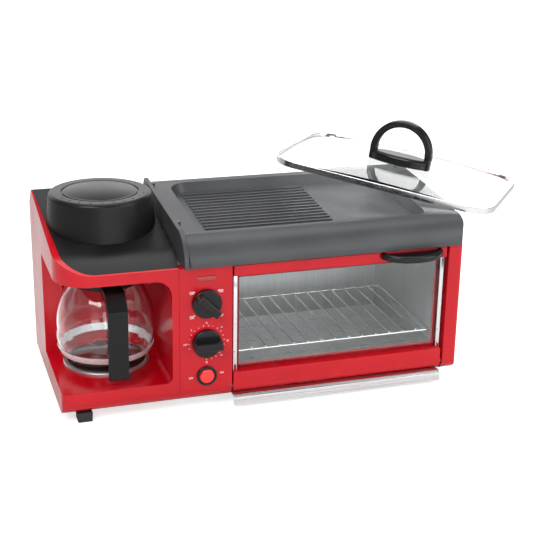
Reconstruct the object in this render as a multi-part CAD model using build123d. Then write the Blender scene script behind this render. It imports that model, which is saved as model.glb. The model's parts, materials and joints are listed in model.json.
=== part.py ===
from build123d import *
import copy
import math
import os

# Countertop breakfast station: a drip coffee maker on the left, a control column in the middle,
# a toaster oven on the right and a lift-off griddle with a glass lid on top.
# Millimetres. X runs left to right, Y front to back, Z up. X = 0 is the middle of the body's width
# and Y = 0 the middle of its depth, Z = 0 is the surface that the feet stand on.

# Driving sizes of the body
BODY_W = 495.0
FRONT_Y = -115.0
BACK_Y = 115.0
FOOT_H = 12.0
FACE_TOP_Z = 181.0
SEAM_COFFEE_X = -110.0
SEAM_OVEN_X = -46.4
TUCK_R = 18.0
SHEET = 1.5
CLEAR = 0.3

LEFT_X = -BODY_W / 2
RIGHT_X = BODY_W / 2

# Feet
FOOT_W = 18.0
FOOT_INSET_X = 17.5
FOOT_FRONT_Y = -100.0
FOOT_BACK_Y = 95.0
FOOT_RIGHT_X = 216.0

# Sloping top of the coffee section
DECK_SLOPE = 10.0
DECK_BACK_Y = 93.0
DECK_BACK_Z = 227.0
BROW_Y = -78.0
SHOULDER_Z = 205.0
COVER_T = 3.0
COVER_INSET = 2.0
COVER_TAPER = 7.0
COVER_CORNER_R = 36.0
UPPER_CORNER_R = 42.0
LOWER_CORNER_R = 8.0

# Carafe bay
BAY_FLOOR_Z = 40.0
BAY_TOP_Z = 168.0
BAY_RIGHT_X = -118.0
BAY_BACK_Y = 18.0
BAY_TOP_CORNER_R = 20.0
BAY_LOW_CORNER_R = 8.0
CARAFE_X = -180.0
CARAFE_Y = -24.0
BAY_ROUND_R = 61.0

# Brewing parts
LID_X = -177.0
LID_Y = 2.0
LID_R = 61.5
LID_SKIRT_R = 67.5
LID_TOP_Z = 246.0
LID_WALL = 2.5
LID_VENTS = 10
LID_VENT_R = 1.2
LID_HINGE_Z = 233.0
LID_PIN_R = 2.0
WELL_R = 56.0
WELL_FLOOR_Z = 186.0
BASKET_R = 36.0
BASKET_Y = -14.0
BASKET_DEPTH = 26.0
TANK_Y0 = 42.0
TANK_FLOOR_Z = 60.0
DRIP_R = 4.0

# Warming plate and carafe
PLATE_R = 52.0
PLATE_H = 4.0
RING_W = 5.0
CARAFE_R = 58.0
CARAFE_WALL = 2.2
CARAFE_BASE_R = 44.0
CARAFE_NECK_R = 36.0
CARAFE_H = 102.0
CARAFE_BELLY_Z = 38.0
COLLAR_H = 12.0
BAND_H = 8.0
HANDLE_W = 23.0
HANDLE_REACH = 29.0
HANDLE_T = 6.0

# Control column
KNOB_X = -77.6
FUNCTION_Z = 136.6
TIMER_Z = 86.9
SWITCH_Z = 45.0
LAMP_Z = 167.0
KNOB_R = 17.5
KNOB_SKIRT_H = 5.0
KNOB_GRIP_H = 12.0
KNOB_GRIP_W = 10.0
KNOB_REVEAL = 0.6
SHAFT_R = 3.0
BEZEL_R = 12.2
ROCKER_R = 8.6
LAMP_W = 23.0
LAMP_H = 6.0

# Oven
FRAME_Y = -100.0
PILLAR_X = 229.0
PILLAR_CORNER_R = 4.0
LINER_X0 = -38.0
LINER_X1 = 220.0
LINER_Y1 = 92.0
LINER_Z0 = 26.0
LINER_Z1 = 175.0
LINER_T = 1.0
ELEMENT_R = 3.0
ELEMENT_LOW_Z = 40.0
ELEMENT_HIGH_Z = 165.0
ELEMENT_YS = (-55.0, 45.0)
GUARD_Z = 48.0
GUARD_SLOTS = 14
RACK_Z = 64.0
RACK_WIRE_R = 1.4
RACK_WIRES = 13
RACK_FRONT_Y = -95.0
RACK_BACK_Y = 70.0

# Oven door
DOOR_X0 = -44.3
DOOR_X1 = 225.6
DOOR_Z0 = 18.0
DOOR_Z1 = 180.0
DOOR_T = 14.0
DOOR_TOP_RAIL = 14.0
DOOR_LOW_RAIL = 27.0
DOOR_STRIP_W = 5.5
DOOR_GLASS_T = 3.0
DOOR_PIN_R = 2.0
DOOR_PIN_CLEAR = 0.1
DOOR_HANDLE_X = 178.0
DOOR_HANDLE_R = 46.0
DOOR_HANDLE_REACH = 28.0
DOOR_HANDLE_Z = 175.0
DOOR_HANDLE_T = 8.0

# Crumb tray
TRAY_X0 = -49.0
TRAY_X1 = 223.0
TRAY_LIP_Y = -122.5
TRAY_LIP_TOP = 17.4
TRAY_LIP_LOW = 4.5
TRAY_FLOOR_Z = 15.0
TRAY_WALL_H = 2.4

# Griddle
GRID_X0 = -104.5
GRID_X1 = 248.5
GRID_Y0 = -120.0
GRID_Y1 = 106.0
GRID_LOW_Z = FACE_TOP_Z + 0.4
GRID_TOP_BACK_Z = 227.0
GRID_SLOPE = 4.0
GRID_BACK_Y = 93.0
GRID_WALL = 5.0
GRID_FLOOR = 4.5
GRID_CORNER_R = 14.0
APRON_R = 34.0
WELL_X0 = -77.0
WELL_X1 = 210.0
WELL_Y0 = -94.0
WELL_Y1 = 82.0
WELL_DEPTH = 11.0
WELL_CORNER_R = 24.0
WELL_DRAFT = 30.0
RIB_COUNT = 15
RIB_W = 3.0
RIB_H = 1.6
BAR_W = 5.0
BAR_H = 5.5

# Glass lid of the griddle
GLASS_L = 294.0
GLASS_B = 202.0
GLASS_T = 4.0
GLASS_RISE = 11.0
GLASS_CORNER_R = 34.0
RIM_H = 8.0
RIM_T = 2.0
GLASS_YAW = -38.6
GLASS_TILT = 7.5
GLASS_NOD = -2.2
GLASS_X = 232.0
GLASS_Y = 60.0
GLASS_Z = 228.8
ARCH_W = 84.0
ARCH_H = 58.0
ARCH_T = 9.0
ARCH_BASE_B = 30.0
ARCH_BASE_H = 12.0

FALL = math.tan(math.radians(DECK_SLOPE))
GRID_FALL = math.tan(math.radians(GRID_SLOPE))


def box(x0, x1, y0, y1, z0, z1):
    """A block between six planes."""
    return Pos((x0 + x1) / 2, (y0 + y1) / 2, (z0 + z1) / 2) * Box(x1 - x0, y1 - y0, z1 - z0)


def post(x, y, z0, z1, radius):
    """An upright cylinder."""
    return Pos(x, y, (z0 + z1) / 2) * Cylinder(radius, z1 - z0)


def peg_y(x, z, y0, y1, radius):
    """A cylinder along Y."""
    return Pos(x, (y0 + y1) / 2, z) * Rot(90, 0, 0) * Cylinder(radius, y1 - y0)


def peg_x(y, z, x0, x1, radius):
    """A cylinder along X."""
    return Pos((x0 + x1) / 2, y, z) * Rot(0, 90, 0) * Cylinder(radius, x1 - x0)


def along_x(face, x0, x1):
    """Extrudes a profile drawn in Y and Z from x0 to x1."""
    plane = Plane(origin=(x0, 0, 0), x_dir=(0, 1, 0), z_dir=(1, 0, 0))
    return extrude(plane * face, x1 - x0)


def along_z(face, z0, z1):
    """Extrudes a plan outline from z0 to z1."""
    return extrude(Pos(0, 0, z0) * face, z1 - z0)


def plan(x0, x1, y0, y1, radius):
    """A plan rectangle with round corners."""
    return Pos((x0 + x1) / 2, (y0 + y1) / 2) * RectangleRounded(x1 - x0, y1 - y0, radius)


def deck_z(y, drop=0.0):
    """Height of the sloping coffee deck at a depth."""
    return DECK_BACK_Z - drop - (DECK_BACK_Y - y) * FALL


def coffee_profile(drop):
    """Side outline of the coffee section; drop lowers its whole upper side."""
    brow = (BROW_Y, deck_z(BROW_Y, drop))
    front = (FRONT_Y, FACE_TOP_Z - drop)
    bend = ((brow[0] + front[0]) / 2 - 0.9, (brow[1] + front[1]) / 2 + 2.1)
    lines = Polyline(
        brow,
        (DECK_BACK_Y, DECK_BACK_Z - drop),
        (BACK_Y, SHOULDER_Z - drop),
        (BACK_Y, FOOT_H),
        (FRONT_Y + TUCK_R, FOOT_H),
    )
    tuck = ThreePointArc(
        (FRONT_Y + TUCK_R, FOOT_H),
        (FRONT_Y + TUCK_R * (1 - math.sqrt(0.5)), FOOT_H + TUCK_R * (1 - math.sqrt(0.5))),
        (FRONT_Y, FOOT_H + TUCK_R),
    )
    face_line = Line((FRONT_Y, FOOT_H + TUCK_R), front)
    return make_face(Curve() + [lines, tuck, face_line, ThreePointArc(front, bend, brow)])


def front_left_round(x0, x1, y0, y1, radius):
    """A plan rectangle whose front left corner alone is round."""
    arc = ThreePointArc(
        (x0, y0 + radius),
        (x0 + radius * (1 - math.sqrt(0.5)), y0 + radius * (1 - math.sqrt(0.5))),
        (x0 + radius, y0),
    )
    rest = Polyline((x0 + radius, y0), (x1, y0), (x1, y1), (x0, y1), (x0, y0 + radius))
    return make_face(Curve() + [arc, rest])


def bay():
    """Space that the carafe stands in, open at the front and on the left."""
    section = Pos((LEFT_X - 40 + BAY_RIGHT_X) / 2, (BAY_FLOOR_Z + BAY_TOP_Z) / 2) * Rectangle(
        BAY_RIGHT_X - LEFT_X + 40, BAY_TOP_Z - BAY_FLOOR_Z
    )
    right = section.vertices().group_by(Axis.X)[-1]
    section = fillet(right.sort_by(Axis.Y)[-1], BAY_TOP_CORNER_R)
    section = fillet(section.vertices().group_by(Axis.X)[-1].sort_by(Axis.Y)[0], BAY_LOW_CORNER_R)
    plane = Plane(origin=(0, BAY_BACK_Y, 0), x_dir=(1, 0, 0), z_dir=(0, -1, 0))
    straight = extrude(plane * section, BAY_BACK_Y - FRONT_Y + 20)
    hollow = post(CARAFE_X, CARAFE_Y, BAY_FLOOR_Z, BAY_TOP_Z, BAY_ROUND_R)
    return straight + hollow


def brew_well():
    """Pockets below the brew lid: the shared mouth and the basket pocket with its drip hole."""
    mouth = post(LID_X, LID_Y, WELL_FLOOR_Z, LID_TOP_Z, WELL_R)
    pocket = post(LID_X, BASKET_Y, WELL_FLOOR_Z - 12, LID_TOP_Z, BASKET_R + 3)
    drip = post(LID_X, BASKET_Y, BAY_TOP_Z - 1, WELL_FLOOR_Z, DRIP_R + 2)
    return mouth + pocket + drip


def cover_outline(grow):
    """Plan of the sloping cover: its left side runs inward to a round front corner; grow widens it."""
    back = (LEFT_X + COVER_INSET - grow, DECK_BACK_Y + grow)
    front = FRONT_Y + COVER_INSET - grow
    left = LEFT_X + COVER_INSET + COVER_TAPER - grow
    arc = COVER_CORNER_R
    corner = ThreePointArc(
        (left, front + arc),
        (left + arc * (1 - math.sqrt(0.5)), front + arc * (1 - math.sqrt(0.5))),
        (left + arc, front),
    )
    rest = Polyline(
        (left + arc, front), (SEAM_COFFEE_X, front), (SEAM_COFFEE_X, back[1]), back, (left, front + arc)
    )
    return make_face(Curve() + [corner, rest])


def coffee_shell():
    """Outer form of the coffee section with the seat of its cover."""
    whole = along_x(coffee_profile(0), LEFT_X, SEAM_COFFEE_X)
    seat = along_z(cover_outline(CLEAR), BAY_TOP_Z, LID_TOP_Z) - along_x(
        coffee_profile(COVER_T), LEFT_X - 1, SEAM_COFFEE_X + 1
    )
    upper = along_z(
        front_left_round(LEFT_X, SEAM_COFFEE_X, FRONT_Y, BACK_Y, UPPER_CORNER_R), BAY_TOP_Z - 14, LID_TOP_Z
    )
    lower = along_z(
        front_left_round(LEFT_X, SEAM_COFFEE_X, FRONT_Y, BACK_Y, LOWER_CORNER_R), 0, BAY_TOP_Z - 14
    )
    return (whole - seat) & (upper + lower)


def water_tank():
    """Pocket for the water behind the bay, open into the mouth."""
    tank = along_z(plan(LEFT_X + 18, SEAM_COFFEE_X - 12, TANK_Y0, BACK_Y - 6, 8), TANK_FLOOR_Z, LID_TOP_Z)
    return tank & box(LEFT_X, SEAM_COFFEE_X, 0, BACK_Y, TANK_FLOOR_Z, WELL_FLOOR_Z + 20)


def coffee_base():
    """Moulded base below the bay, hollow from underneath."""
    base = coffee_shell() & box(LEFT_X - 1, RIGHT_X, FRONT_Y - 1, BACK_Y + 1, 0, BAY_FLOOR_Z)
    hollow = plan(LEFT_X + 4, SEAM_COFFEE_X - 4, FRONT_Y + 22, BACK_Y - 4, 6)
    base -= along_z(hollow, FOOT_H, BAY_FLOOR_Z - 4)
    for y in (FOOT_FRONT_Y + 14, FOOT_BACK_Y):
        base += post(LEFT_X + FOOT_INSET_X + 9, y, FOOT_H, BAY_FLOOR_Z - 4, 8)
    return base


def coffee_housing():
    """Column of the coffee section: side wall of the bay, its back and the water tank."""
    middle = coffee_shell() & box(LEFT_X - 1, RIGHT_X, FRONT_Y - 1, BACK_Y + 1, BAY_FLOOR_Z, BAY_TOP_Z)
    return middle - bay() - water_tank()


def coffee_head():
    """Brew head above the bay, with the seat of the cover."""
    head = coffee_shell() & box(LEFT_X - 1, RIGHT_X, FRONT_Y - 1, BACK_Y + 1, BAY_TOP_Z, LID_TOP_Z)
    return head - brew_well() - water_tank()


def coffee_cover():
    upper = along_x(coffee_profile(0), LEFT_X - 1, SEAM_COFFEE_X)
    lower = along_x(coffee_profile(COVER_T), LEFT_X - 2, SEAM_COFFEE_X + 1)
    skin = (upper - lower) & along_z(cover_outline(0), FACE_TOP_Z - COVER_T - 2, LID_TOP_Z)
    skin -= post(LID_X, LID_Y, 0, LID_TOP_Z + 9, WELL_R)
    return skin


def ring(radius, wall, z0, z1, x, y):
    """An upright tube; wall is measured inward."""
    return post(x, y, z0, z1, radius) - post(x, y, z0 - 1, z1 + 1, radius - wall)


def feet():
    made = []
    for x in (LEFT_X + FOOT_INSET_X + FOOT_W / 2, FOOT_RIGHT_X):
        for y in (FOOT_FRONT_Y, FOOT_BACK_Y):
            foot = extrude(Pos(x, y, FOOT_H) * Rot(180, 0, 0) * Rectangle(FOOT_W, FOOT_W), FOOT_H, taper=3)
            made.append(foot)
    return made


def brew_lid():
    shoulder = LID_TOP_Z
    low = deck_z(FRONT_Y) - 10
    outer = make_face(
        Curve()
        + [
            Polyline((0, shoulder), (44, shoulder), (44, shoulder - 1.2), (46, shoulder - 1.2), (46, shoulder)),
            Line((46, shoulder), (LID_R - 5, shoulder)),
            ThreePointArc((LID_R - 5, shoulder), (LID_R - 1.5, shoulder - 1.5), (LID_R, shoulder - 5)),
            Polyline((LID_R, shoulder - 5), (LID_SKIRT_R, low), (0, low), (0, shoulder)),
        ]
    )
    dome = make_face(
        Curve()
        + [
            ThreePointArc((0, shoulder + 4.5), (22, shoulder + 3.4), (44, shoulder - 0.2)),
            Polyline((44, shoulder - 0.2), (44, shoulder - 1.2), (0, shoulder - 1.2), (0, shoulder + 4.5)),
        ]
    )
    hollow = make_face(
        Polyline(
            (0, shoulder - 4), (LID_R - 6, shoulder - 4), (LID_R - LID_WALL, shoulder - 8),
            (LID_SKIRT_R - LID_WALL, low), (0, low), (0, shoulder - 4),
        )
    )
    place = Pos(LID_X, LID_Y, 0)
    cap = place * (revolve(Plane.XZ * outer, Axis.Z) + revolve(Plane.XZ * dome, Axis.Z))
    cap -= place * revolve(Plane.XZ * hollow, Axis.Z)
    cap -= along_x(coffee_profile(-CLEAR - 0.1), LEFT_X - 5, SEAM_COFFEE_X + 20)
    for count in range(LID_VENTS):
        angle = math.radians(205 + 130 * count / (LID_VENTS - 1))
        x = LID_X + 53 * math.cos(angle)
        y = LID_Y + 53 * math.sin(angle)
        cap -= post(x, y, shoulder - 6, shoulder + 1, LID_VENT_R)
    return cap + lid_ears()


def lid_hinge_y():
    """Depth of the brew lid's hinge axis."""
    return LID_Y + LID_R + 9.5


def lid_ears():
    ears = []
    for side in (-1, 1):
        x = LID_X + side * 17
        ear = box(x - 3, x + 3, lid_hinge_y() - 11, lid_hinge_y(), LID_HINGE_Z - 3.5, LID_HINGE_Z + 3.5)
        ear += peg_x(lid_hinge_y(), LID_HINGE_Z, x - 3, x + 3, 3.5)
        ear -= peg_x(lid_hinge_y(), LID_HINGE_Z, x - 4, x + 4, LID_PIN_R + 0.1)
        ears.append(ear)
    return ears


def lid_hinge():
    y = lid_hinge_y()
    block = box(LID_X - 13, LID_X + 13, y - 4, y + 8, deck_z(y) - 3, LID_HINGE_Z + 4)
    block = fillet(block.edges().filter_by(Axis.X).group_by(Axis.Z)[-1], 3)
    block -= along_x(coffee_profile(0), LEFT_X, SEAM_COFFEE_X)
    return block + peg_x(y, LID_HINGE_Z, LID_X - 21, LID_X + 21, LID_PIN_R)


def brew_basket():
    floor = WELL_FLOOR_Z - 12
    top = floor + BASKET_DEPTH
    upright = (Align.CENTER, Align.CENTER, Align.MIN)
    outer = Pos(LID_X, BASKET_Y, floor) * Cone(BASKET_R - 12, BASKET_R, BASKET_DEPTH, align=upright)
    inner = Pos(LID_X, BASKET_Y, floor + 2.5) * Cone(BASKET_R - 14, BASKET_R - 2.2, BASKET_DEPTH, align=upright)
    flange = ring(BASKET_R + 2.4, 5, top - 2, top, LID_X, BASKET_Y)
    return (outer - inner) + flange - post(LID_X, BASKET_Y, floor - 1, floor + 4, 3)


def warming_plate():
    low = post(CARAFE_X, CARAFE_Y, BAY_FLOOR_Z, BAY_FLOOR_Z + PLATE_H, PLATE_R - RING_W)
    disc = fillet(low.edges().group_by(Axis.Z)[-1], 1)
    return disc + post(CARAFE_X, CARAFE_Y, BAY_FLOOR_Z + PLATE_H - 1, BAY_FLOOR_Z + PLATE_H + 2, PLATE_R - 14)


def plate_ring():
    made = ring(PLATE_R, RING_W - CLEAR, BAY_FLOOR_Z, BAY_FLOOR_Z + PLATE_H - 1, CARAFE_X, CARAFE_Y)
    return chamfer(made.edges().group_by(Axis.Z)[-1].sort_by(SortBy.LENGTH)[-1:], 1)


def carafe_z():
    """Height of the carafe's underside."""
    return BAY_FLOOR_Z + PLATE_H + 2 + CLEAR


def carafe_outline(wall):
    """Half section of the jug, wall inside its outer face, closed along the axis."""
    base = CARAFE_BASE_R - wall
    belly = CARAFE_R - wall
    neck = CARAFE_NECK_R - wall
    low = wall
    bulge = ThreePointArc(
        (base, low), ((base + belly) / 2 + 4.5, CARAFE_BELLY_Z * 0.38), (belly, CARAFE_BELLY_Z)
    )
    shoulder = ThreePointArc(
        (belly, CARAFE_BELLY_Z), ((belly + neck) / 2 + 6.5, (CARAFE_BELLY_Z + CARAFE_H) / 2 + 4.0), (neck, CARAFE_H)
    )
    rest = Polyline((neck, CARAFE_H), (0, CARAFE_H), (0, low), (base, low))
    return Plane.XZ * make_face(Curve() + [bulge, shoulder, rest])


def at_carafe(shape):
    return Pos(CARAFE_X, CARAFE_Y, carafe_z()) * shape


def carafe_glass():
    jug = revolve(carafe_outline(0), Axis.Z)
    inside = revolve(carafe_outline(CARAFE_WALL), Axis.Z)
    return at_carafe(jug - inside - post(0, 0, CARAFE_H - 3, CARAFE_H + 1, CARAFE_NECK_R - CARAFE_WALL))


def carafe_collar():
    low = CARAFE_H - COLLAR_H * 0.6
    tube = post(0, 0, low, CARAFE_H + COLLAR_H * 0.4, CARAFE_NECK_R + 5)
    tube -= revolve(carafe_outline(0), Axis.Z)
    tube -= post(0, 0, CARAFE_H - 1, CARAFE_H + COLLAR_H, CARAFE_NECK_R - CARAFE_WALL)
    spout = Pos(0, CARAFE_NECK_R + 4, CARAFE_H + COLLAR_H * 0.1) * Cone(6, 11, COLLAR_H * 0.6)
    spout -= post(0, 0, 0, CARAFE_H + COLLAR_H, CARAFE_NECK_R + 4.9)
    return at_carafe(tube + spout)


def carafe_lid():
    low = CARAFE_H + COLLAR_H * 0.4
    disc = post(0, 0, low, low + 6, CARAFE_NECK_R + 4)
    disc = fillet(disc.edges().group_by(Axis.Z)[-1], 2.5)
    disc += post(0, 0, low - 4, low, CARAFE_NECK_R - CARAFE_WALL - 0.5)
    disc -= post(0, 0, low - 5, low + 7, DRIP_R + 3)
    tab = box(-9, 9, -CARAFE_NECK_R - 16, -CARAFE_NECK_R, low, low + 5)
    tab = fillet(tab.edges().filter_by(Axis.Z).group_by(Axis.Y)[0], 5)
    return at_carafe(disc + tab)


def carafe_band():
    low = 10.0
    tube = post(0, 0, low, low + BAND_H, CARAFE_R + 6)
    tube -= revolve(carafe_outline(0), Axis.Z)
    sleeve = revolve(carafe_outline(-1.2), Axis.Z)
    return at_carafe(tube & sleeve)


def carafe_handle():
    out = CARAFE_R + HANDLE_REACH
    top = CARAFE_H + COLLAR_H * 0.25
    strap = make_face(
        Polyline(
            (-CARAFE_NECK_R - 2, top), (-out + 16, top), (-out, top - 18), (-out + 2, 2), (-out + HANDLE_T + 2, 2),
            (-out + HANDLE_T, top - 22), (-out + 20, top - 8), (-CARAFE_NECK_R - 2, top - 8), (-CARAFE_NECK_R - 2, top),
        )
    )
    solid = along_x(strap, -HANDLE_W / 2, HANDLE_W / 2)
    solid = fillet(solid.edges().filter_by(Axis.X).filter_by(lambda e: e.center().Y < -out + 17), 2.4)
    solid += box(-6, 6, -out + HANDLE_T - 1, -CARAFE_BASE_R - 4, 11, 17)
    solid -= revolve(carafe_outline(-1.2), Axis.Z)
    solid -= post(0, 0, 0, CARAFE_H + COLLAR_H, CARAFE_NECK_R + 5)
    return at_carafe(solid)


def face_channel(x0, x1, wall):
    """Front post of the body: a channel with the tucked-under lower edge."""
    rear = FRONT_Y + TUCK_R
    face = make_face(
        Curve()
        + [
            Polyline((FRONT_Y, FOOT_H + TUCK_R), (FRONT_Y, FACE_TOP_Z), (rear, FACE_TOP_Z), (rear, FOOT_H)),
            ThreePointArc(
                (rear, FOOT_H),
                (FRONT_Y + TUCK_R * (1 - math.sqrt(0.5)), FOOT_H + TUCK_R * (1 - math.sqrt(0.5))),
                (FRONT_Y, FOOT_H + TUCK_R),
            ),
        ]
    )
    whole = along_x(face, x0, x1) & box(x0, x1, FRONT_Y, FRAME_Y, 0, FACE_TOP_Z)
    return whole - box(x0 + wall, x1 - wall, FRONT_Y + 2.5, BACK_Y, FOOT_H + 9, FACE_TOP_Z - 2.5)


def control_panel():
    panel = face_channel(SEAM_COFFEE_X + CLEAR, SEAM_OVEN_X, SHEET)
    for z in (FUNCTION_Z, TIMER_Z):
        panel -= peg_y(KNOB_X, z, FRONT_Y - 1, FRONT_Y + 5, SHAFT_R + CLEAR)
    panel -= peg_y(KNOB_X, SWITCH_Z, FRONT_Y - 1, FRONT_Y + 5, BEZEL_R - 2)
    lamp = Plane(origin=(KNOB_X, FRONT_Y, LAMP_Z), x_dir=(1, 0, 0), z_dir=(0, -1, 0)) * SlotOverall(LAMP_W, LAMP_H)
    return panel - extrude(lamp, 4, both=True)


def indicator_lens():
    face = Plane(origin=(KNOB_X, FRONT_Y + 2.5, LAMP_Z), x_dir=(1, 0, 0), z_dir=(0, -1, 0)) * SlotOverall(LAMP_W, LAMP_H)
    lens = extrude(face, 3.5)
    return fillet(lens.edges().group_by(Axis.Y)[0], 0.8)


def knob(z, turn):
    """Round control knob with a raised grip bar across it."""
    base = FRONT_Y - KNOB_REVEAL
    skirt = peg_y(0, 0, base - KNOB_SKIRT_H, base, KNOB_R)
    skirt = fillet(skirt.edges().group_by(Axis.Y)[0], 1.5)
    grip = box(-KNOB_R + 1, KNOB_R - 1, base - KNOB_SKIRT_H - KNOB_GRIP_H, base - 1, -KNOB_GRIP_W / 2, KNOB_GRIP_W / 2)
    grip = fillet(grip.edges().group_by(Axis.Y)[0], 2)
    grip &= peg_y(0, 0, base - 40, base, KNOB_R - 1)
    shaft = peg_y(0, 0, base - 1, FRONT_Y + 14, SHAFT_R)
    return Pos(KNOB_X, 0, z) * Rot(0, turn, 0) * (skirt + grip + shaft)


def function_knob():
    return knob(FUNCTION_Z, 45)


def timer_knob():
    return knob(TIMER_Z, 0)


def control_switches():
    made = []
    for z in (FUNCTION_Z, TIMER_Z):
        body = box(KNOB_X - 15, KNOB_X + 15, FRONT_Y + 2.5, FRONT_Y + 20, z - 15, z + 15)
        made.append(body - peg_y(KNOB_X, z, FRONT_Y, FRONT_Y + 15, SHAFT_R + CLEAR))
    return made


def switch_bezel():
    front = peg_y(KNOB_X, SWITCH_Z, FRONT_Y - 2.5, FRONT_Y, BEZEL_R)
    front = fillet(front.edges().group_by(Axis.Y)[0], 1)
    body = peg_y(KNOB_X, SWITCH_Z, FRONT_Y, FRONT_Y + 22, BEZEL_R - 2)
    return front + body - peg_y(KNOB_X, SWITCH_Z, FRONT_Y - 5, FRONT_Y + 5, ROCKER_R + 0.4)


def coffee_switch():
    disc = peg_y(KNOB_X, SWITCH_Z, FRONT_Y - 4, FRONT_Y + 0.5, ROCKER_R)
    disc = fillet(disc.edges().group_by(Axis.Y)[0], 1.5)
    return disc + peg_x(FRONT_Y - 0.5, SWITCH_Z, KNOB_X - ROCKER_R - 0.2, KNOB_X + ROCKER_R + 0.2, 0.9)


def side_panel():
    pillar = face_channel(PILLAR_X, RIGHT_X, SHEET)
    skin = box(RIGHT_X - SHEET, RIGHT_X, FRAME_Y, BACK_Y, FOOT_H, FACE_TOP_Z)
    outline = Pos((PILLAR_X + RIGHT_X) / 2, 0) * Rectangle(RIGHT_X - PILLAR_X, BACK_Y - FRONT_Y)
    outline = fillet(outline.vertices().group_by(Axis.Y)[0].sort_by(Axis.X)[-1], PILLAR_CORNER_R)
    return (pillar + skin) & along_z(outline, 0, FACE_TOP_Z)


def bottom_pan():
    return box(SEAM_COFFEE_X + CLEAR, RIGHT_X - SHEET, FRAME_Y, BACK_Y - SHEET, FOOT_H, FOOT_H + SHEET)


def top_plate():
    plate = box(SEAM_COFFEE_X + CLEAR, RIGHT_X - SHEET, FRAME_Y, BACK_Y - SHEET, FACE_TOP_Z - SHEET, FACE_TOP_Z)
    return plate - box(LINER_X0 + 30, LINER_X1 - 30, -60, 60, FACE_TOP_Z - 5, FACE_TOP_Z + 1)


def chassis_wall():
    return box(SEAM_OVEN_X - 1.2, SEAM_OVEN_X, FRAME_Y, BACK_Y - SHEET, FOOT_H + SHEET, FACE_TOP_Z - SHEET)


def rear_panel():
    panel = box(SEAM_COFFEE_X + CLEAR, RIGHT_X - SHEET, BACK_Y - SHEET, BACK_Y, FOOT_H, FACE_TOP_Z)
    for count in range(8):
        z = 70 + 10 * count
        panel -= box(60, 130, BACK_Y - 5, BACK_Y + 5, z, z + 3)
    return panel - peg_y(215, 36, BACK_Y - 5, BACK_Y + 5, 6)


def cord_inlet():
    gland = peg_y(215, 36, BACK_Y - SHEET - 4, BACK_Y + 7, 6) + peg_y(215, 36, BACK_Y, BACK_Y + 2.5, 8.5)
    return gland - peg_y(215, 36, BACK_Y + 1, BACK_Y + 9, 3.5)


def front_frame():
    frame = box(SEAM_OVEN_X, RIGHT_X - SHEET, FRAME_Y, FRAME_Y + SHEET, FOOT_H + SHEET, FACE_TOP_Z - SHEET)
    frame -= box(LINER_X0 + LINER_T, LINER_X1 - LINER_T, FRAME_Y - 1, FRAME_Y + 5, LINER_Z0 + LINER_T, LINER_Z1 - LINER_T)
    return frame - box(TRAY_X0 + 8, TRAY_X1 - 2, FRAME_Y - 1, FRAME_Y + 5, FOOT_H + SHEET, TRAY_FLOOR_Z + 5.5)


def oven_liner():
    front = FRAME_Y + SHEET
    shell = box(LINER_X0, LINER_X1, front, LINER_Y1, LINER_Z0, LINER_Z1)
    shell -= box(
        LINER_X0 + LINER_T, LINER_X1 - LINER_T, front - 1, LINER_Y1 - LINER_T, LINER_Z0 + LINER_T, LINER_Z1 - LINER_T
    )
    shell -= box(LINER_X0 + 30, LINER_X1 - 30, -60, 60, LINER_Z1 - 5, LINER_Z1 + 1)
    shell -= box(LINER_X0 + 20, LINER_X1 - 20, -80, 70, LINER_Z0 - 1, LINER_Z0 + 5)
    ledge_top = RACK_Z - RACK_WIRE_R - CLEAR
    for wall, inner in ((LINER_X0 + LINER_T, 1), (LINER_X1 - LINER_T, -1)):
        edges = sorted((wall, wall + inner * 7))
        shell += box(edges[0], edges[1], front + 2, LINER_Y1 - LINER_T, ledge_top - 1, ledge_top)
    return shell


def liner_brackets():
    """Flanges that carry the liner between the bottom pan and the top plate."""
    made = []
    for y in (-80.0, 80.0):
        made.append(box(SEAM_OVEN_X, LINER_X0, y - 8, y + 8, 90, 110))
        made.append(box(LINER_X1, RIGHT_X - SHEET, y - 8, y + 8, 90, 110))
    return made


def elements(z):
    made = []
    for y in ELEMENT_YS:
        made.append(peg_x(y, z, LINER_X0 + LINER_T + 7, LINER_X1 - LINER_T - 7, ELEMENT_R))
    return made


def lower_elements():
    return elements(ELEMENT_LOW_Z)


def upper_elements():
    return elements(ELEMENT_HIGH_Z)


def element_mounts():
    made = []
    for z in (ELEMENT_LOW_Z, ELEMENT_HIGH_Z):
        for y in ELEMENT_YS:
            made.append(peg_x(y, z, LINER_X0 + LINER_T, LINER_X0 + LINER_T + 7, 5.5))
            made.append(peg_x(y, z, LINER_X1 - LINER_T - 7, LINER_X1 - LINER_T, 5.5))
    return made


def element_guard():
    plate = box(LINER_X0 + LINER_T, LINER_X1 - LINER_T, FRAME_Y + SHEET + 1, 40, GUARD_Z, GUARD_Z + 1.2)
    pitch = (LINER_X1 - LINER_X0 - 24) / GUARD_SLOTS
    for row in range(5):
        y = -88 + 24 * row
        for count in range(GUARD_SLOTS):
            x = LINER_X0 + 12 + pitch * (count + 0.5)
            plate -= box(x - pitch * 0.36, x + pitch * 0.36, y - 2, y + 2, GUARD_Z - 2, GUARD_Z + 3)
    return plate


def bake_rack():
    left = LINER_X0 + LINER_T + 2.5
    right = LINER_X1 - LINER_T - 2.5
    rack = Part()
    for x in (left, right):
        rack += peg_y(x, RACK_Z, RACK_FRONT_Y, RACK_BACK_Y, RACK_WIRE_R)
    for y in (RACK_FRONT_Y, RACK_BACK_Y):
        rack += peg_x(y, RACK_Z, left, right, RACK_WIRE_R)
        for x in (left, right):
            rack += Pos(x, y, RACK_Z) * Sphere(RACK_WIRE_R)
    pitch = (right - left) / (RACK_WIRES + 1)
    for count in range(RACK_WIRES):
        x = left + pitch * (count + 1)
        rack += peg_y(x, RACK_Z + RACK_WIRE_R * 1.2, RACK_FRONT_Y, RACK_BACK_Y, RACK_WIRE_R * 0.8)
    return rack


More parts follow.
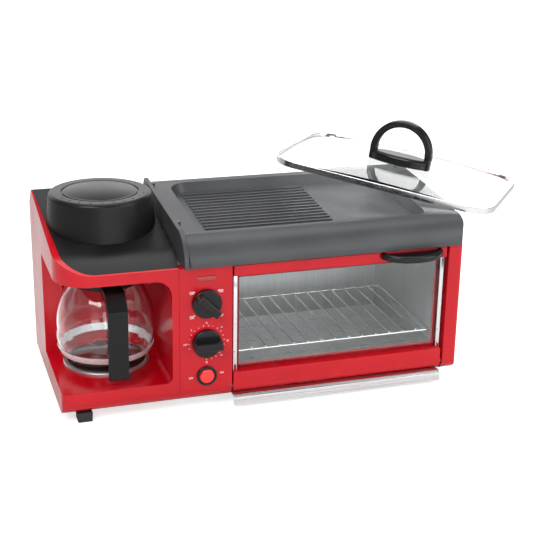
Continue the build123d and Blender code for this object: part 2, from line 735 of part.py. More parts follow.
def crumb_tray():
    left = LINER_X0 + 2
    right = LINER_X1 - 3
    tray = box(left, right, FRAME_Y - 1, LINER_Y1, TRAY_FLOOR_Z, TRAY_FLOOR_Z + TRAY_WALL_H)
    tray -= box(left + 1, right - 1, FRAME_Y - 5, LINER_Y1 - 1, TRAY_FLOOR_Z + 1, TRAY_FLOOR_Z + 5)
    return tray


def tray_lip():
    section = make_face(
        Polyline(
            (FRAME_Y - 1, TRAY_LIP_TOP), (TRAY_LIP_Y + 3, TRAY_LIP_TOP), (TRAY_LIP_Y, TRAY_LIP_TOP - 3),
            (TRAY_LIP_Y, TRAY_LIP_LOW), (TRAY_LIP_Y + 1.5, TRAY_LIP_LOW), (TRAY_LIP_Y + 1.5, TRAY_LIP_TOP - 4),
            (TRAY_LIP_Y + 4, TRAY_LIP_TOP - 1.5), (FRAME_Y - 1, TRAY_LIP_TOP - 1.5), (FRAME_Y - 1, TRAY_LIP_TOP),
        )
    )
    return along_x(section, TRAY_X0 + 3.2, TRAY_X1)


def door_frame():
    body = box(DOOR_X0, DOOR_X1, FRONT_Y, FRONT_Y + DOOR_T, DOOR_Z0, DOOR_Z1)
    low = body.edges().filter_by(Axis.X).group_by(Axis.Z)[0]
    body = fillet(low, DOOR_T / 2 - 0.01)
    body = fillet(body.edges().filter_by(Axis.X).group_by(Axis.Z)[-1].sort_by(Axis.Y)[0], 2.5)
    low_z = DOOR_Z0 + DOOR_LOW_RAIL
    top_z = DOOR_Z1 - DOOR_TOP_RAIL
    back = FRONT_Y + DOOR_T - 3
    body -= box(DOOR_X0 - 1, DOOR_X1 + 1, FRONT_Y - 1, back, low_z, top_z)
    body -= box(DOOR_X0 + 9, DOOR_X1 - 9, FRONT_Y, BACK_Y, low_z + 5, top_z - 5)
    y, z = door_axis()
    for x0, x1 in ((DOOR_X0 - 1, DOOR_X0 + 8), (DOOR_X1 - 8, DOOR_X1 + 1)):
        body -= peg_x(y, z, x0, x1, DOOR_PIN_R + DOOR_PIN_CLEAR)
    return body


def door_axis():
    """Depth and height of the door's hinge line."""
    return FRONT_Y + DOOR_T / 2, DOOR_Z0 + DOOR_T / 2


def door_pins():
    y, z = door_axis()
    return [peg_x(y, z, SEAM_OVEN_X, DOOR_X0 + 7, DOOR_PIN_R), peg_x(y, z, DOOR_X1 - 7, PILLAR_X, DOOR_PIN_R)]


def door_glass():
    back = FRONT_Y + DOOR_T - 3
    z0 = DOOR_Z0 + DOOR_LOW_RAIL
    z1 = DOOR_Z1 - DOOR_TOP_RAIL
    return box(DOOR_X0 + DOOR_STRIP_W, DOOR_X1 - DOOR_STRIP_W, back - DOOR_GLASS_T, back, z0, z1)


def door_strips():
    back = FRONT_Y + DOOR_T - 3
    z0 = DOOR_Z0 + DOOR_LOW_RAIL
    z1 = DOOR_Z1 - DOOR_TOP_RAIL
    made = []
    for x0 in (DOOR_X0, DOOR_X1 - DOOR_STRIP_W):
        strip = box(x0, x0 + DOOR_STRIP_W, back - 6.5, back, z0, z1)
        strip = fillet(strip.edges().filter_by(Axis.Z).group_by(Axis.Y)[0], 1.2)
        for z in (68.0, 104.0):
            strip += peg_y(x0 + DOOR_STRIP_W / 2, z, back - 7.5, back - 6, 1.6)
        made.append(strip)
    return made


def door_handle():
    moon = Pos(DOOR_HANDLE_X, FRONT_Y) * Ellipse(DOOR_HANDLE_R * 0.87, DOOR_HANDLE_REACH)
    grip = along_z(moon, DOOR_HANDLE_Z - DOOR_HANDLE_T / 2, DOOR_HANDLE_Z + DOOR_HANDLE_T / 2)
    grip = fillet(grip.edges().group_by(Axis.Z)[0] + grip.edges().group_by(Axis.Z)[-1], 2.5)
    grip &= box(-BODY_W, BODY_W, FRONT_Y - 60, FRONT_Y, 0, DOOR_Z1)
    dish = Pos(DOOR_HANDLE_X, FRONT_Y) * Ellipse(DOOR_HANDLE_R * 0.87 - 5, DOOR_HANDLE_REACH - 5)
    return grip - along_z(dish, DOOR_HANDLE_Z + DOOR_HANDLE_T / 2 - 2, DOOR_HANDLE_Z + DOOR_HANDLE_T)


def grid_z(y):
    """Height of the griddle's sloping top at a depth."""
    return GRID_TOP_BACK_Z - (GRID_BACK_Y - y) * GRID_FALL


def grid_profile(rise):
    """Side outline of the griddle casting; rise lifts the top and pushes the apron forward."""
    crest = (GRID_Y0 + APRON_R, grid_z(GRID_Y0 + APRON_R) + rise)
    toe = (GRID_Y0 - rise * 0.4, GRID_LOW_Z)
    rear = (GRID_BACK_Y, GRID_TOP_BACK_Z + rise)
    heel = (GRID_Y1, GRID_LOW_Z)
    apron = ThreePointArc(toe, (toe[0] + APRON_R * 0.27, (toe[1] + crest[1]) / 2 + 8.0), crest)
    back = ThreePointArc(rear, (GRID_Y1 - 2.5, (rear[1] + heel[1]) / 2 + 8), heel)
    return make_face(Curve() + [apron, Line(crest, rear), back, Line(heel, toe)])


def griddle():
    plate = along_x(grid_profile(0), GRID_X0, GRID_X1)
    plate &= along_z(plan(GRID_X0, GRID_X1, GRID_Y0, GRID_Y1, GRID_CORNER_R), 0, 400)
    bar = along_x(grid_profile(BAR_H), GRID_X0, GRID_X0 + BAR_W)
    plate += bar
    middle_x = (WELL_X0 + WELL_X1) / 2
    middle_y = (WELL_Y0 + WELL_Y1) / 2
    place = Pos(middle_x, middle_y, grid_z(middle_y)) * Rot(GRID_SLOPE, 0, 0)
    mouth = RectangleRounded(WELL_X1 - WELL_X0, WELL_Y1 - WELL_Y0, WELL_CORNER_R)
    plate -= place * extrude(mouth, -WELL_DEPTH, taper=WELL_DRAFT)
    plate -= under_hollow(WELL_DEPTH + GRID_FLOOR)
    block = RectangleRounded(WELL_X1 - WELL_X0 + 2 * GRID_FLOOR, WELL_Y1 - WELL_Y0 + 2 * GRID_FLOOR, WELL_CORNER_R)
    plate -= under_hollow(GRID_FLOOR) - place * extrude(block, -WELL_DEPTH - GRID_FLOOR - 1, taper=WELL_DRAFT)
    pitch = (WELL_Y1 - WELL_Y0 - 30) / RIB_COUNT
    for count in range(RIB_COUNT):
        y = -(WELL_Y1 - WELL_Y0) / 2 + 15 + pitch * (count + 0.5)
        length = (WELL_X1 - WELL_X0) * 0.56
        rib = Pos(-(WELL_X1 - WELL_X0) / 2 + 14 + length / 2, y, -WELL_DEPTH) * Box(length, RIB_W, RIB_H * 2)
        plate += place * rib
    for y in (-62.0, 74.0):
        tab = box(GRID_X0 + BAR_W, GRID_X0 + BAR_W + 5, y, y + 9, grid_z(y) - 2, grid_z(y) + 4)
        plate += tab
    return plate


def under_hollow(drop):
    """Open space under the griddle's deck, drop below its top."""
    outline = Polyline(
        (GRID_Y0 + GRID_WALL + 1, GRID_LOW_Z - 1),
        (GRID_Y0 + GRID_WALL + 6, GRID_LOW_Z + 14),
        (GRID_Y0 + APRON_R - 12, grid_z(GRID_Y0 + APRON_R) - max(drop, 9) - 3),
        (GRID_Y0 + APRON_R, grid_z(GRID_Y0 + APRON_R) - drop),
        (GRID_BACK_Y - 8, grid_z(GRID_BACK_Y - 8) - drop),
        (GRID_Y1 - GRID_WALL - 1, GRID_LOW_Z + 14),
        (GRID_Y1 - GRID_WALL, GRID_LOW_Z - 1),
        (GRID_Y0 + GRID_WALL + 1, GRID_LOW_Z - 1),
    )
    return along_x(make_face(outline), GRID_X0 + GRID_WALL, GRID_X1 - GRID_WALL)


def at_glass(shape):
    """Places a piece of the glass lid where it lies askew on the griddle."""
    turn = Rot(0, 0, GLASS_YAW) * Rot(GLASS_NOD, 0, 0) * Rot(0, GLASS_TILT, 0)
    return Pos(GLASS_X, GLASS_Y, GLASS_Z) * turn * shape


def glass_outline(inset):
    return RectangleRounded(GLASS_L - 2 * inset, GLASS_B - 2 * inset, GLASS_CORNER_R - inset)


def dome_radius():
    """Radius of the glass dome's outer face, from its rise over the half diagonal."""
    reach = math.hypot(GLASS_L / 2, GLASS_B / 2)
    return (reach**2 + GLASS_RISE**2) / (2 * GLASS_RISE)


def glass_shell(lift, thickness):
    """Spherical cap, as thick as the glass, whose crown is lift above the rim's middle."""
    radius = dome_radius()
    reach = math.hypot(GLASS_L / 2, GLASS_B / 2) + 5
    outer_low = lift - (radius - math.sqrt(radius**2 - reach**2))
    inner_radius = radius - thickness
    inner_low = lift - thickness - (inner_radius - math.sqrt(inner_radius**2 - reach**2))
    half = reach / 2
    outer_mid = lift - (radius - math.sqrt(radius**2 - half**2))
    inner_mid = lift - thickness - (inner_radius - math.sqrt(inner_radius**2 - half**2))
    face = make_face(
        Curve()
        + [
            ThreePointArc((0, lift), (half, outer_mid), (reach, outer_low)),
            Line((reach, outer_low), (reach, inner_low)),
            ThreePointArc((reach, inner_low), (half, inner_mid), (0, lift - thickness)),
            Line((0, lift - thickness), (0, lift)),
        ]
    )
    return revolve(Plane.XZ * face, Axis.Z)


def glass_crown():
    """Height of the dome's crown above the middle of the rim."""
    return GLASS_RISE - 1.0


def lid_glass():
    cap = glass_shell(glass_crown(), GLASS_T) & along_z(glass_outline(RIM_T), -30, 30)
    return at_glass(cap - post(0, 0, -5, 20, 3))


def lid_rim():
    band = along_z(glass_outline(0), -RIM_H / 2, RIM_H / 2) - along_z(glass_outline(RIM_T), -RIM_H, RIM_H)
    return at_glass(band)


def lid_handle():
    crown = glass_crown()
    circle_z = ARCH_H - ARCH_W / 2
    hoop = Pos(0, circle_z) * Circle(ARCH_W / 2) + Pos(0, circle_z / 2) * Rectangle(ARCH_W, circle_z)
    hole = Pos(0, circle_z) * Circle(ARCH_W / 2 - ARCH_T) + Pos(0, circle_z / 2) * Rectangle(ARCH_W - 2 * ARCH_T, circle_z)
    hoop -= hole
    arch = extrude(Plane.XZ * hoop, 6.5, both=True)
    sides = [edge for edge in arch.edges() if abs(abs(edge.center().Y) - 6.5) < 0.01 and edge.center().Z > 0.1]
    arch = fillet(sides, 2.5)
    base = along_z(Ellipse(ARCH_W / 2 - 1, ARCH_BASE_B / 2), 0, ARCH_BASE_H)
    base = fillet(base.edges().group_by(Axis.Z)[-1], 4)
    whole = Pos(0, 0, crown) * (arch + base)
    whole -= glass_shell(crown, 40) & along_z(glass_outline(RIM_T), -60, 60)
    return at_glass(whole + post(0, 0, crown - GLASS_T, crown + 2, 2.9))


def lid_screw():
    crown = glass_crown()
    head = post(0, 0, crown - GLASS_T - 3, crown - GLASS_T - 0.05, 7)
    return at_glass(head)


PARTS = {
    "coffee_base": coffee_base,
    "coffee_housing": coffee_housing,
    "coffee_head": coffee_head,
    "coffee_cover": coffee_cover,
    "lid_hinge": lid_hinge,
    "brew_lid": brew_lid,
    "brew_basket": brew_basket,
    "warming_plate": warming_plate,
    "plate_ring": plate_ring,
    "carafe_glass": carafe_glass,
    "carafe_collar": carafe_collar,
    "carafe_lid": carafe_lid,
    "carafe_band": carafe_band,
    "carafe_handle": carafe_handle,
    "control_panel": control_panel,
    "indicator_lens": indicator_lens,
    "function_knob": function_knob,
    "timer_knob": timer_knob,
    "control_switches": control_switches,
    "switch_bezel": switch_bezel,
    "coffee_switch": coffee_switch,
    "side_panel": side_panel,
    "bottom_pan": bottom_pan,
    "top_plate": top_plate,
    "chassis_wall": chassis_wall,
    "rear_panel": rear_panel,
    "cord_inlet": cord_inlet,
    "front_frame": front_frame,
    "oven_liner": oven_liner,
    "liner_brackets": liner_brackets,
    "lower_elements": lower_elements,
    "upper_elements": upper_elements,
    "element_mounts": element_mounts,
    "element_guard": element_guard,
    "bake_rack": bake_rack,
    "crumb_tray": crumb_tray,
    "tray_lip": tray_lip,
    "door_frame": door_frame,
    "door_pins": door_pins,
    "door_glass": door_glass,
    "door_strips": door_strips,
    "door_handle": door_handle,
    "griddle": griddle,
    "lid_glass": lid_glass,
    "lid_rim": lid_rim,
    "lid_handle": lid_handle,
    "lid_screw": lid_screw,
    "feet": feet,
}


def make_all():
    """Every sub-part by name, where it stands in the working frame."""
    shapes = {}
    for name, maker in PARTS.items():
        made = maker()
        shapes[name] = Compound(children=made) if isinstance(made, list) else made
    return shapes


def base_middle(shapes):
    """Middle of the whole outline in plan, on the standing surface: the origin of the finished part."""
    middle = Compound(children=[copy.copy(shape) for shape in shapes.values()]).bounding_box().center()
    return Vector(middle.X, middle.Y, 0)


def main():
    os.makedirs("parts", exist_ok=True)
    shapes = make_all()
    origin = base_middle(shapes)
    print("origin in the working frame:", round(origin.X, 3), round(origin.Y, 3))
    for name, shape in shapes.items():
        export_step(Pos(-origin) * shape, "parts/" + name + ".step")


main()
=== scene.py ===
import json
import math

import bmesh
import bpy
from mathutils import Matrix, Vector

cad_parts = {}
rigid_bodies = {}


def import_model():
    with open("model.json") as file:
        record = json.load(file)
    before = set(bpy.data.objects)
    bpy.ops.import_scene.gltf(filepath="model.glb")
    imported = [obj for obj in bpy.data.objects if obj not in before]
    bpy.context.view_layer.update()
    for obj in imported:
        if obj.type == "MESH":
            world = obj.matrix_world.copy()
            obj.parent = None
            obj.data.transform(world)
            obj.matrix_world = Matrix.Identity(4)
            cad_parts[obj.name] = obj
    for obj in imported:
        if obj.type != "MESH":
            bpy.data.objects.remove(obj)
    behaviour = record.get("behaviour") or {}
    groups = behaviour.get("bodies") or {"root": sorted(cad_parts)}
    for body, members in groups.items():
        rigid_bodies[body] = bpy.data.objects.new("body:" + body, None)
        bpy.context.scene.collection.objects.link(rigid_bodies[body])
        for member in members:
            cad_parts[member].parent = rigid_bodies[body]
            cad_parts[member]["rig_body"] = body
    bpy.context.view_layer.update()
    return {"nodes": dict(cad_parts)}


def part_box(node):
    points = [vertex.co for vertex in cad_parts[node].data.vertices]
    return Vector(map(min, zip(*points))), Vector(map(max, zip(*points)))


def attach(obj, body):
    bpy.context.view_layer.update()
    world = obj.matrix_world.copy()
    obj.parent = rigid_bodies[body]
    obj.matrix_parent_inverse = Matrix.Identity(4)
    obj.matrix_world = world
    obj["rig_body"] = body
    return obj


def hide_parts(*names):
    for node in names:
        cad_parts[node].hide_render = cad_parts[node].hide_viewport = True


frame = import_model()

# Working frame of the body: X = 0 is the middle of its width, Y = 0 the middle of its depth
BODY_W = 0.495
BODY_D = 0.230
HOUSING_LOW, HOUSING_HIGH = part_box("coffee_housing")
ORIGIN = Vector((HOUSING_LOW.x + BODY_W / 2, HOUSING_LOW.y + BODY_D / 2, 0))
MM = 0.001


def at(x, y, z):
    """A place given in millimetres in the body's working frame."""
    return ORIGIN + Vector((x, y, z)) * MM


# Colours, linear
RED = (0.52, 0.002, 0.010, 1)
BLACK = (0.008, 0.008, 0.009, 1)
SATIN_BLACK = (0.009, 0.009, 0.010, 1)
RUBBER_BLACK = (0.02, 0.02, 0.02, 1)
GRAPHITE = (0.062, 0.064, 0.068, 1)
STEEL = (0.56, 0.57, 0.57, 1)
LINER_STEEL = (0.50, 0.51, 0.51, 1)
BAND_STEEL = (0.86, 0.86, 0.87, 1)
SHEATH = (0.20, 0.19, 0.18, 1)
BRIGHT = (0.80, 0.80, 0.81, 1)
ALU = (0.80, 0.81, 0.82, 1)
WHITE_INK = (0.85, 0.85, 0.85, 1)
CERAMIC = (0.75, 0.73, 0.68, 1)
LAMP_RED = (0.34, 0.004, 0.006, 1)
ROCKER_RED = (0.80, 0.006, 0.006, 1)
LID_GLASS = (0.975, 0.985, 0.982, 1)
DOOR_GLASS = (0.90, 0.92, 0.92, 1)
JUG_GLASS = (0.97, 0.98, 0.98, 1)
PLAIN_WHITE = (1, 1, 1, 1)
FLOOR_PALE = (0.80, 0.80, 0.80, 1)

# Noise between these two values covers the whole range of a finish
NOISE_LOW = 0.3
NOISE_HIGH = 0.7
GLOSS_DRIFT = 0.05
STREAK_SMOOTHER = 0.06
STREAK_ROUGHER = 0.08
GLASS_IOR = 1.45
LENS_GRAIN = 300.0
LENS_ROUGH = 0.08


def new_group(name, inputs, outputs):
    """An empty shader group with its named sockets."""
    tree = bpy.data.node_groups.new(name, "ShaderNodeTree")
    for label, kind, value in inputs:
        socket = tree.interface.new_socket(label, in_out="INPUT", socket_type=kind)
        socket.default_value = value
    for label, kind in outputs:
        tree.interface.new_socket(label, in_out="OUTPUT", socket_type=kind)
    return tree, tree.nodes.new("NodeGroupInput"), tree.nodes.new("NodeGroupOutput")


def make_grain_group():
    """Fine moulded or cast grain: a height for bump and a slow variation for roughness."""
    tree, inp, out = new_group(
        "surface grain",
        [
            ("Scale", "NodeSocketFloat", 900.0),
            ("Detail", "NodeSocketFloat", 3.0),
            ("Drift", "NodeSocketFloat", 14.0),
        ],
        [("Height", "NodeSocketFloat"), ("Mottle", "NodeSocketFloat")],
    )
    place = tree.nodes.new("ShaderNodeTexCoord")
    fine = tree.nodes.new("ShaderNodeTexNoise")
    slow = tree.nodes.new("ShaderNodeTexNoise")
    tree.links.new(place.outputs["Object"], fine.inputs["Vector"])
    tree.links.new(place.outputs["Object"], slow.inputs["Vector"])
    tree.links.new(inp.outputs["Scale"], fine.inputs["Scale"])
    tree.links.new(inp.outputs["Detail"], fine.inputs["Detail"])
    tree.links.new(inp.outputs["Drift"], slow.inputs["Scale"])
    tree.links.new(fine.outputs["Fac"], out.inputs["Height"])
    tree.links.new(slow.outputs["Fac"], out.inputs["Mottle"])
    return tree


def make_brush_group():
    """Brushed streaks: noise drawn out along one axis."""
    tree, inp, out = new_group(
        "brushed streaks",
        [("Stretch", "NodeSocketVector", (6.0, 900.0, 900.0)), ("Scale", "NodeSocketFloat", 1.0)],
        [("Streak", "NodeSocketFloat")],
    )
    place = tree.nodes.new("ShaderNodeTexCoord")
    mapping = tree.nodes.new("ShaderNodeMapping")
    noise = tree.nodes.new("ShaderNodeTexNoise")
    noise.inputs["Detail"].default_value = 2.0
    tree.links.new(place.outputs["Object"], mapping.inputs["Vector"])
    tree.links.new(inp.outputs["Stretch"], mapping.inputs["Scale"])
    tree.links.new(mapping.outputs["Vector"], noise.inputs["Vector"])
    tree.links.new(inp.outputs["Scale"], noise.inputs["Scale"])
    tree.links.new(noise.outputs["Fac"], out.inputs["Streak"])
    return tree


GRAIN = make_grain_group()
BRUSH = make_brush_group()


def blank_material(name):
    material = bpy.data.materials.new(name)
    material.use_nodes = True
    shader = material.node_tree.nodes["Principled BSDF"]
    return material, material.node_tree, shader


def spread(tree, source, low, high):
    """Maps a 0 to 1 value to a narrow range."""
    ramp = tree.nodes.new("ShaderNodeMapRange")
    ramp.inputs["From Min"].default_value = NOISE_LOW
    ramp.inputs["From Max"].default_value = NOISE_HIGH
    ramp.inputs["To Min"].default_value = low
    ramp.inputs["To Max"].default_value = high
    tree.links.new(source, ramp.inputs["Value"])
    return ramp.outputs["Result"]


def tint(tree, source, dark, light):
    """Maps a 0 to 1 value to a colour between two."""
    ramp = tree.nodes.new("ShaderNodeValToRGB")
    ramp.color_ramp.elements[0].position = NOISE_LOW
    ramp.color_ramp.elements[1].position = NOISE_HIGH
    ramp.color_ramp.elements[0].color = dark
    ramp.color_ramp.elements[1].color = light
    tree.links.new(source, ramp.inputs["Fac"])
    return ramp.outputs["Color"]


def scaled(colour, factor):
    return tuple(min(1.0, c * factor) for c in colour[:3]) + (1,)


def bump_from(tree, shader, height, depth):
    bump = tree.nodes.new("ShaderNodeBump")
    bump.inputs["Distance"].default_value = depth
    bump.inputs["Strength"].default_value = 1.0
    tree.links.new(height, bump.inputs["Height"])
    tree.links.new(bump.outputs["Normal"], shader.inputs["Normal"])


def moulded(name, colour, rough, grain_scale, depth, metallic=0.0, vary=0.08, shine=0.5):
    """Plastic, enamel, rubber or a coat of non-stick: grain, slow mottling of gloss and colour."""
    material, tree, shader = blank_material(name)
    grain = tree.nodes.new("ShaderNodeGroup")
    grain.node_tree = GRAIN
    grain.inputs["Scale"].default_value = grain_scale
    shader.inputs["Metallic"].default_value = metallic
    shader.inputs["Specular IOR Level"].default_value = shine
    mottle = grain.outputs["Mottle"]
    rough_value = spread(tree, mottle, rough - GLOSS_DRIFT, rough + GLOSS_DRIFT)
    tree.links.new(rough_value, shader.inputs["Roughness"])
    base = tint(tree, mottle, scaled(colour, 1 - vary), scaled(colour, 1 + vary))
    tree.links.new(base, shader.inputs["Base Color"])
    bump_from(tree, shader, grain.outputs["Height"], depth)
    return material


def brushed(name, colour, rough, stretch, vary=0.12, depth=0.00002, metallic=1.0):
    """Metal with streaks along one axis."""
    material, tree, shader = blank_material(name)
    streaks = tree.nodes.new("ShaderNodeGroup")
    streaks.node_tree = BRUSH
    streaks.inputs["Stretch"].default_value = stretch
    shader.inputs["Metallic"].default_value = metallic
    streak = streaks.outputs["Streak"]
    rough_value = spread(tree, streak, rough - STREAK_SMOOTHER, rough + STREAK_ROUGHER)
    tree.links.new(rough_value, shader.inputs["Roughness"])
    base = tint(tree, streak, scaled(colour, 1 - vary), scaled(colour, 1 + vary))
    tree.links.new(base, shader.inputs["Base Color"])
    bump_from(tree, shader, streak, depth)
    return material


def clear_glass(name, colour):
    """Clear glass that lets lamps shine through it."""
    material, tree, shader = blank_material(name)
    shader.inputs["Base Color"].default_value = colour
    shader.inputs["Roughness"].default_value = 0.0
    shader.inputs["IOR"].default_value = GLASS_IOR
    shader.inputs["Transmission Weight"].default_value = 1.0
    path = tree.nodes.new("ShaderNodeLightPath")
    through = tree.nodes.new("ShaderNodeBsdfTransparent")
    through.inputs["Color"].default_value = colour
    mix = tree.nodes.new("ShaderNodeMixShader")
    tree.links.new(path.outputs["Is Shadow Ray"], mix.inputs["Fac"])
    tree.links.new(shader.outputs["BSDF"], mix.inputs[1])
    tree.links.new(through.outputs["BSDF"], mix.inputs[2])
    tree.links.new(mix.outputs["Shader"], tree.nodes["Material Output"].inputs["Surface"])
    return material


def lit_lens(name, colour, glow):
    """A clear coloured lens with a faint glow behind it."""
    material, tree, shader = blank_material(name)
    grain = tree.nodes.new("ShaderNodeGroup")
    grain.node_tree = GRAIN
    grain.inputs["Scale"].default_value = LENS_GRAIN
    base = tint(tree, grain.outputs["Height"], scaled(colour, 0.8), scaled(colour, 1.2))
    tree.links.new(base, shader.inputs["Base Color"])
    shader.inputs["Roughness"].default_value = LENS_ROUGH
    shader.inputs["Coat Weight"].default_value = 1.0
    shader.inputs["Emission Color"].default_value = colour
    shader.inputs["Emission Strength"].default_value = glow
    return material


MATERIALS = {
    "red_plastic": moulded("gloss red plastic", RED, 0.16, 260.0, 0.00001, shine=0.42),
    "red_metal": moulded("gloss red enamel", RED, 0.20, 220.0, 0.00001, shine=0.42),
    "black_satin": moulded(
        "satin black plastic", SATIN_BLACK, 0.34, 1500.0, 0.00004, shine=0.25
    ),
    "black_gloss": moulded("gloss black plastic", BLACK, 0.18, 400.0, 0.00001, shine=0.35),
    "griddle_coat": moulded(
        "non-stick coat", GRAPHITE, 0.42, 1100.0, 0.00014, metallic=0.2, vary=0.12
    ),
    "rubber": moulded("black rubber", RUBBER_BLACK, 0.7, 1200.0, 0.00008),
    "ceramic": moulded("white ceramic", CERAMIC, 0.5, 900.0, 0.00004),
    "steel_sheet": brushed("steel sheet", STEEL, 0.34, (700.0, 8.0, 700.0), metallic=0.85),
    "liner_steel": brushed(
        "oven liner sheet", LINER_STEEL, 0.38, (500.0, 500.0, 10.0), metallic=0.7
    ),
    "alu_brushed": brushed("brushed aluminium", ALU, 0.30, (5.0, 900.0, 900.0)),
    "chrome": brushed(
        "bright chrome", BRIGHT, 0.10, (300.0, 300.0, 300.0), vary=0.03, depth=0.000004
    ),
    "steel_band": brushed(
        "polished band", BAND_STEEL, 0.30, (900.0, 900.0, 8.0), vary=0.06, metallic=0.3
    ),
    "element": moulded("heater sheath", SHEATH, 0.45, 600.0, 0.00004, metallic=0.9),
    "glass_clear": clear_glass("clear glass", LID_GLASS),
    "glass_door": clear_glass("door glass", DOOR_GLASS),
    "glass_carafe": clear_glass("carafe glass", JUG_GLASS),
    "lamp": lit_lens("red lens", LAMP_RED, 0.05),
    "rocker": lit_lens("red rocker", ROCKER_RED, 0.35),
    "ink": moulded("white print", WHITE_INK, 0.45, 800.0, 0.000005, vary=0.02),
}

FINISH = {
    "coffee_base": "red_plastic",
    "coffee_housing": "red_plastic",
    "coffee_head": "red_plastic",
    "coffee_cover": "black_satin",
    "lid_hinge": "black_satin",
    "brew_lid": "black_satin",
    "brew_basket": "black_satin",
    "warming_plate": "black_gloss",
    "plate_ring": "steel_sheet",
    "carafe_glass": "glass_carafe",
    "carafe_collar": "black_satin",
    "carafe_lid": "black_satin",
    "carafe_band": "steel_band",
    "carafe_handle": "black_satin",
    "control_panel": "red_metal",
    "indicator_lens": "lamp",
    "function_knob": "black_gloss",
    "timer_knob": "black_gloss",
    "control_switches": "black_satin",
    "switch_bezel": "black_gloss",
    "coffee_switch": "rocker",
    "side_panel": "red_metal",
    "bottom_pan": "steel_sheet",
    "top_plate": "steel_sheet",
    "chassis_wall": "steel_sheet",
    "rear_panel": "red_metal",
    "cord_inlet": "black_satin",
    "front_frame": "liner_steel",
    "oven_liner": "liner_steel",
    "liner_brackets": "steel_sheet",
    "lower_elements": "element",
    "upper_elements": "element",
    "element_mounts": "ceramic",
    "element_guard": "steel_sheet",
    "bake_rack": "chrome",
    "crumb_tray": "alu_brushed",
    "tray_lip": "alu_brushed",
    "door_frame": "red_metal",
    "door_pins": "steel_sheet",
    "door_glass": "glass_door",
    "door_strips": "chrome",
    "door_handle": "black_gloss",
    "griddle": "griddle_coat",
    "lid_glass": "glass_clear",
    "lid_rim": "chrome",
    "lid_handle": "black_gloss",
    "lid_screw": "steel_sheet",
    "feet": "rubber",
}

# Width of the soft edge that each node's copy gets, in millimetres; 0 leaves the edges as they are
EDGE = {
    "coffee_housing": 1.0,
    "coffee_cover": 0.8,
    "brew_lid": 0.9,
    "control_panel": 0.6,
    "side_panel": 0.6,
    "door_frame": 0.7,
    "griddle": 1.2,
    "tray_lip": 0.4,
    "carafe_handle": 0.8,
    "carafe_collar": 0.6,
    "carafe_lid": 0.5,
    "function_knob": 0.4,
    "timer_knob": 0.4,
    "switch_bezel": 0.3,
    "warming_plate": 0.3,
    "lid_rim": 0.5,
    "lid_handle": 0.3,
    "feet": 1.0,
    "door_handle": 0.3,
}
SHARP_ANGLE = math.radians(32)
FLAT_ANGLE = math.radians(0.4)
MERGE = 0.000002


def body_of(node):
    return frame["nodes"][node]["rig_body"]


def to_mesh(obj):
    """Applies an object's modifiers and leaves it a plain mesh."""
    bpy.context.view_layer.update()
    graph = bpy.context.evaluated_depsgraph_get()
    mesh = bpy.data.meshes.new_from_object(obj.evaluated_get(graph))
    obj.modifiers.clear()
    obj.data = mesh
    return obj


def link(name, mesh):
    obj = bpy.data.objects.new(name, mesh)
    bpy.context.scene.collection.objects.link(obj)
    return obj


def finish_piece(obj, body, finish):
    """Gives a new piece its material and body."""
    obj.data.materials.clear()
    obj.data.materials.append(MATERIALS[finish])
    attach(obj, body)
    return obj


def clean(mesh):
    """Merges a mesh's corners and joins its flat faces."""
    work = bmesh.new()
    work.from_mesh(mesh)
    bmesh.ops.remove_doubles(work, verts=work.verts, dist=MERGE)
    bmesh.ops.dissolve_limit(
        work, angle_limit=FLAT_ANGLE, verts=work.verts, edges=work.edges, delimit={"NORMAL"}
    )
    work.to_mesh(mesh)
    work.free()
    return mesh


def merged_mesh(node):
    """A cleaned copy of a node's mesh."""
    return clean(frame["nodes"][node].data.copy())


def united(nodes):
    """Neighbouring nodes of one moulding as a single closed object."""
    whole = link(nodes[0] + "_skin", merged_mesh(nodes[0]))
    for other in nodes[1:]:
        tool = link(other + "_tool", merged_mesh(other))
        join = whole.modifiers.new("join", "BOOLEAN")
        join.operation = "UNION"
        join.solver = "EXACT"
        join.object = tool
        to_mesh(whole)
        bpy.data.objects.remove(tool)
    clean(whole.data)
    return whole


def smooth(obj, width):
    """Soft edges of a width in millimetres, and smooth normals."""
    obj.data.shade_smooth()
    obj.data.set_sharp_from_angle(angle=SHARP_ANGLE)
    if width:
        bevel = obj.modifiers.new("edge", "BEVEL")
        bevel.width = width * MM
        bevel.segments = 2
        bevel.limit_method = "ANGLE"
        bevel.angle_limit = SHARP_ANGLE
        bevel.use_clamp_overlap = True
    weigh = obj.modifiers.new("normals", "WEIGHTED_NORMAL")
    weigh.keep_sharp = True
    return to_mesh(obj)


# The nodes that are one red moulding on the real object
MOULDING = ("coffee_housing", "coffee_base", "coffee_head")


def dress_nodes():
    for node in frame["nodes"]:
        if node in MOULDING:
            continue
        skin = smooth(link(node + "_skin", merged_mesh(node)), EDGE.get(node, 0))
        finish_piece(skin, body_of(node), FINISH[node])
        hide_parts(node)
    skin = smooth(united(MOULDING), EDGE[MOULDING[0]])
    finish_piece(skin, body_of(MOULDING[0]), FINISH[MOULDING[0]])
    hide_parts(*MOULDING)


dress_nodes()


# Printed marks of the control column
COLUMN_FACE_Y = -115.0
KNOB_X = -77.6
FUNCTION_Z = 136.6
TIMER_Z = 86.9
SWITCH_Z = 45.0
PRINT_T = 0.12
PRINT_Y = COLUMN_FACE_Y - PRINT_T / 2
TEXT_SIZE = 1.38
MINUTES = (0, 5, 10, 15, 20, 25, 30)
MINUTES_STEP_DEG = 45
MINUTES_RADIUS_X = 25.5
MINUTES_RADIUS_Z = 25.0
MINUTES_H = 2.0
SWITCH_TEXT_H = 2.2
SIGN_X = 17.5
SIGN_Z = 15
SIGN_W = 5.0
SIGN_H = 0.5
SIGN_ROWS = (0.0, 1.3, 2.6)


